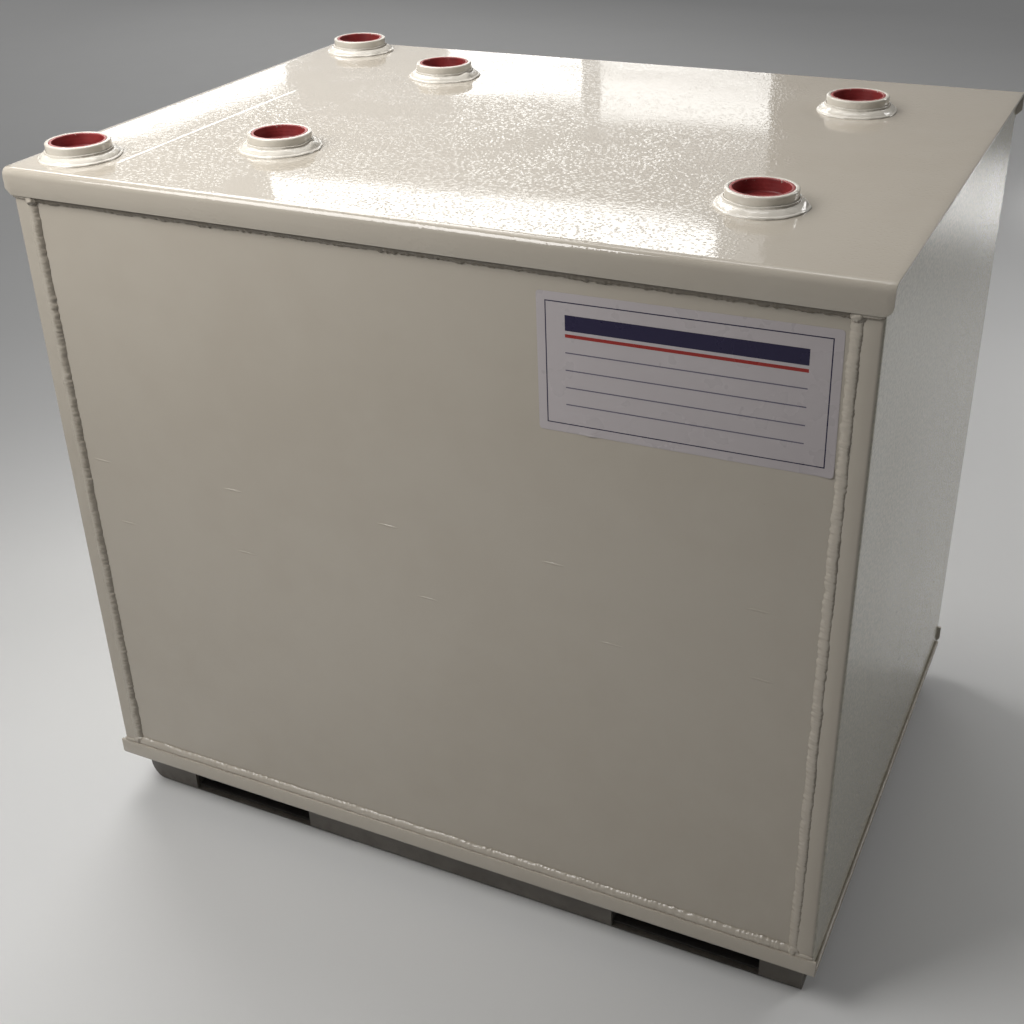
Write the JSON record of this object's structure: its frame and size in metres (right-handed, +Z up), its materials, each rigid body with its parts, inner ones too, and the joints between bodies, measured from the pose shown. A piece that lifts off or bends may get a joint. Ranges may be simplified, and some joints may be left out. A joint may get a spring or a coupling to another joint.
{
  "type": "rectangular steel storage tank",
  "caption": "Box-shaped welded steel storage tank with a lipped top, plugged half couplings on the top sheet and a low channel base with fork pockets.",
  "frame": {"origin": "on the floor, under the middle of the body", "axes": "+X to the right along the front, +Y towards the back, +Z up; the front is the -Y side"},
  "size_m": [0.978, 0.7184, 0.898],
  "materials": {
    "enamel": "gloss almond enamel over welded sheet steel, with orange peel",
    "base_enamel": "same enamel in a thin, dull coat, dusty and dark under the body",
    "red_plastic": "moulded red polyethylene cup plug",
    "label": "blank pale vinyl label"
  },
  "bodies": {
    "root": {"top_sheet": "enamel", "bottom_sheet": "enamel", "left_side_sheet": "enamel", "right_side_sheet": "enamel", "front_panel": "enamel", "back_panel": "enamel", "front_weld_bottom": "enamel", "front_weld_top": "enamel", "front_weld_left": "enamel", "front_weld_right": "enamel", "back_weld_bottom": "enamel", "back_weld_top": "enamel", "back_weld_left": "enamel", "back_weld_right": "enamel", "left_seam_weld_top": "enamel", "left_seam_weld_bottom": "enamel", "right_seam_weld_top": "enamel", "right_seam_weld_bottom": "enamel", "bung_corner_front": "enamel", "bung_corner_back": "enamel", "bung_left_front": "enamel", "bung_left_back": "enamel", "bung_right_front": "enamel", "bung_right_back": "enamel", "bung_weld_corner_front": "enamel", "bung_weld_corner_back": "enamel", "bung_weld_left_front": "enamel", "bung_weld_left_back": "enamel", "bung_weld_right_front": "enamel", "bung_weld_right_back": "enamel", "base_front_rail": "base_enamel", "base_back_rail": "base_enamel", "base_left_runner": "base_enamel", "base_right_runner": "base_enamel", "fork_sleeve_left": "base_enamel", "fork_sleeve_right": "base_enamel", "plug_corner_front": "red_plastic", "plug_corner_back": "red_plastic", "plug_left_front": "red_plastic", "plug_left_back": "red_plastic", "plug_right_front": "red_plastic", "plug_right_back": "red_plastic"}
  },
  "joints": []
}
